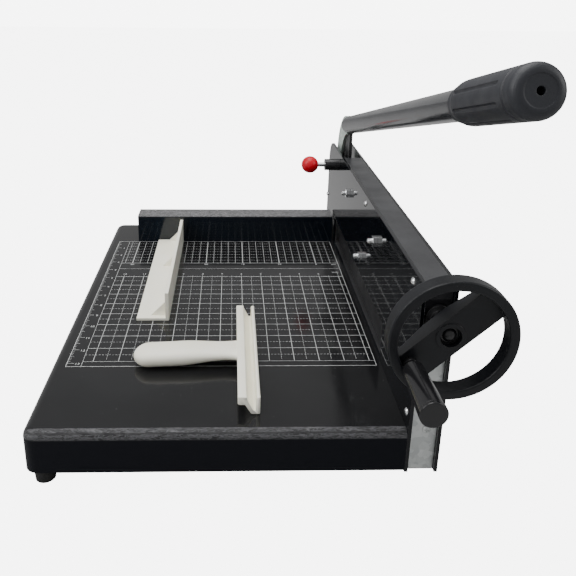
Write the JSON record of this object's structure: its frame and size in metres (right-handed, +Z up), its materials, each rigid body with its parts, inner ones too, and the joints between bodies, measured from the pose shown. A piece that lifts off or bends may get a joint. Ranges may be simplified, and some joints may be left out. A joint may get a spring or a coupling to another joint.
{
  "type": "guillotine paper cutter",
  "caption": "Black guillotine stack paper cutter with a printed grid table, a lever-driven blade frame, a clamp handwheel, a red lock knob and loose off-white plastic paper stops.",
  "frame": {"origin": "the point on the table's top surface where the cutting line meets the front face of the back fence", "axes": "+X to the waste side of the blade, +Y from the operator towards the fence and beyond, +Z up"},
  "size_m": [0.3958, 0.6404, 0.3833],
  "materials": {
    "gloss_black_panel": "gloss",
    "gloss_black_table": "gloss",
    "satin_grey_cover": "satin",
    "black_fence": "gloss",
    "galvanised_sheet": "satin",
    "black_rubber": "matte",
    "zinc_steel": "satin",
    "chrome_steel": "polished",
    "dark_steel": "satin",
    "ground_steel": "satin",
    "bronze": "satin",
    "red_plastic": "gloss",
    "black_steel": "satin",
    "gloss_grey_tube": "gloss",
    "matte_black_plastic": "matte",
    "dark_wheel": "satin",
    "gloss_black_plastic": "gloss",
    "off_white_plastic": "matte"
  },
  "bodies": {
    "frame": {"table": "gloss_black_table", "table_ribs": "galvanised_sheet", "rubber_feet": "black_rubber", "foot_screws": "zinc_steel", "frame_foot_plates": "galvanised_sheet", "back_fence": "black_fence", "fence_screws": "zinc_steel", "left_side_plate": "gloss_black_panel", "right_side_plate": "gloss_black_panel", "frame_spacers": "zinc_steel", "frame_bolts": "zinc_steel", "small_screws": "chrome_steel", "top_cover": "satin_grey_cover", "front_end_panel": "galvanised_sheet", "rear_panel": "galvanised_sheet", "bed_rail": "dark_steel", "cutting_stick": "red_plastic", "carrier_guide_bolts": "zinc_steel", "carrier_wear_strips": "bronze", "pivot_shaft": "zinc_steel", "pivot_spacers": "zinc_steel", "pivot_nut": "zinc_steel", "lock_bush": "black_steel", "lock_spring": "zinc_steel", "clamp_guide_bolt": "chrome_steel", "drawbar_guide_screws": "chrome_steel", "lock_nuts": "chrome_steel", "screw_bearing_plate": "galvanised_sheet", "bearing_bush": "black_steel"},
    "lever": {"lever_arm_left": "zinc_steel", "lever_arm_right": "zinc_steel", "lock_sector": "black_steel", "lever_tube": "gloss_grey_tube", "tube_pin": "zinc_steel", "lever_grip": "matte_black_plastic", "grip_end_cap": "matte_black_plastic", "drive_pin": "zinc_steel", "drive_roller": "zinc_steel", "pivot_bush": "bronze"},
    "carrier": {"blade": "ground_steel", "blade_bolts": "zinc_steel", "blade_carrier": "dark_steel"},
    "drawbar": {"drawbar": "dark_steel", "drawbar_bolts": "zinc_steel", "drawbar_nut": "bronze"},
    "clamp": {"clamp_bar": "dark_steel", "clamp_lift_pins": "zinc_steel"},
    "wheel": {"lead_screw": "chrome_steel", "handwheel": "dark_wheel", "hub_bolt": "black_steel", "crank_pin": "black_steel"},
    "crank": {"crank_knob": "gloss_black_plastic", "crank_knob_cap": "gloss_black_plastic"},
    "lock": {"lock_pin": "chrome_steel", "lock_knob": "red_plastic"},
    "stop": {"paper_stop": "off_white_plastic"},
    "pusher": {"paper_pusher": "off_white_plastic"}
  },
  "joints": [
    {"name": "lever_hinge", "type": "hinge", "parent": "frame", "child": "lever", "pos_m": [0, 0.034, 0.095], "axis": [-1, 0, 0], "range_deg": [0, 62]},
    {"name": "carrier_slide", "type": "slide", "parent": "frame", "child": "carrier", "axis": [0, -0.3543, 0.9351], "range_m": [0, 0.0452]},
    {"name": "wheel_spin", "type": "hinge", "parent": "frame", "child": "wheel", "pos_m": [0.0008, -0.47, 0.1085], "axis": [0, 1, 0], "range_deg": [0, 2280]},
    {"name": "drawbar_slide", "type": "slide", "parent": "frame", "child": "drawbar", "axis": [0, 1, 0], "range_m": [0, 0.038]},
    {"name": "clamp_slide", "type": "slide", "parent": "frame", "child": "clamp", "axis": [0, 0, 1], "range_m": [0, 0.038]},
    {"name": "crank_spin", "type": "hinge", "parent": "wheel", "child": "crank", "pos_m": [-0.02871, -0.508, 0.08585], "axis": [0, 1, 0], "continuous": true},
    {"name": "lock_pin_slide", "type": "slide", "parent": "frame", "child": "lock", "axis": [-1, 0, 0], "range_m": [-0.0086, 0]},
    {"name": "paper_stop_lift", "type": "slide", "parent": "frame", "child": "stop", "axis": [0, 0, 1], "range_m": [0, 0.1]},
    {"name": "push_handle_lift", "type": "slide", "parent": "frame", "child": "pusher", "axis": [0, 0, 1], "range_m": [0, 0.1]}
  ],
  "couplings": [
    {"joint": "carrier_slide", "follows": "lever_hinge", "m_per_rad": 0.04173},
    {"joint": "drawbar_slide", "follows": "wheel_spin", "m_per_rad": 0.00095493},
    {"joint": "clamp_slide", "follows": "wheel_spin", "m_per_rad": 0.00095493}
  ]
}
